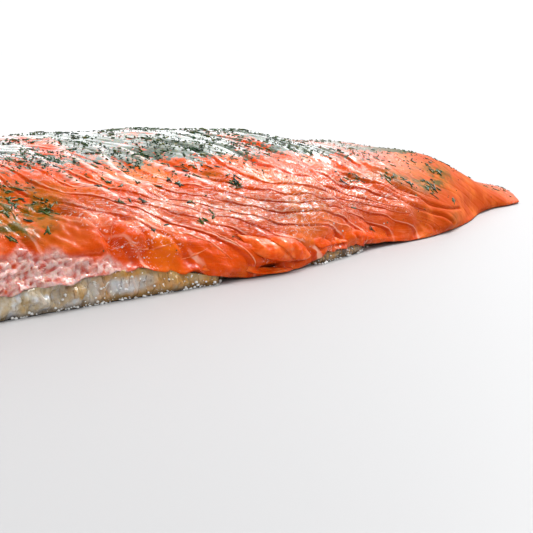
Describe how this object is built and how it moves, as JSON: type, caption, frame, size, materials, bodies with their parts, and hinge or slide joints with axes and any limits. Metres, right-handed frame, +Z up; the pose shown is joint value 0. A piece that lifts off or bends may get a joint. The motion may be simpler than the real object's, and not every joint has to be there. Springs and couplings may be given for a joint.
{
  "type": "gravlax",
  "caption": "Tail half of a cured salmon side on its skin, with chopped dill, cut straight across the thick end and thin at the tail.",
  "frame": {"origin": "under the middle of the fillet's bounding box, on the surface that it lies on", "axes": "+X along the fillet to the tail, +Y across it from the back edge to the belly edge, +Z up from the surface that it lies on"},
  "size_m": [0.328, 0.136, 0.036],
  "materials": {
    "flesh": "moist",
    "skin": "moist"
  },
  "bodies": {
    "root": {"flesh": "flesh", "skin": "skin"}
  },
  "joints": []
}
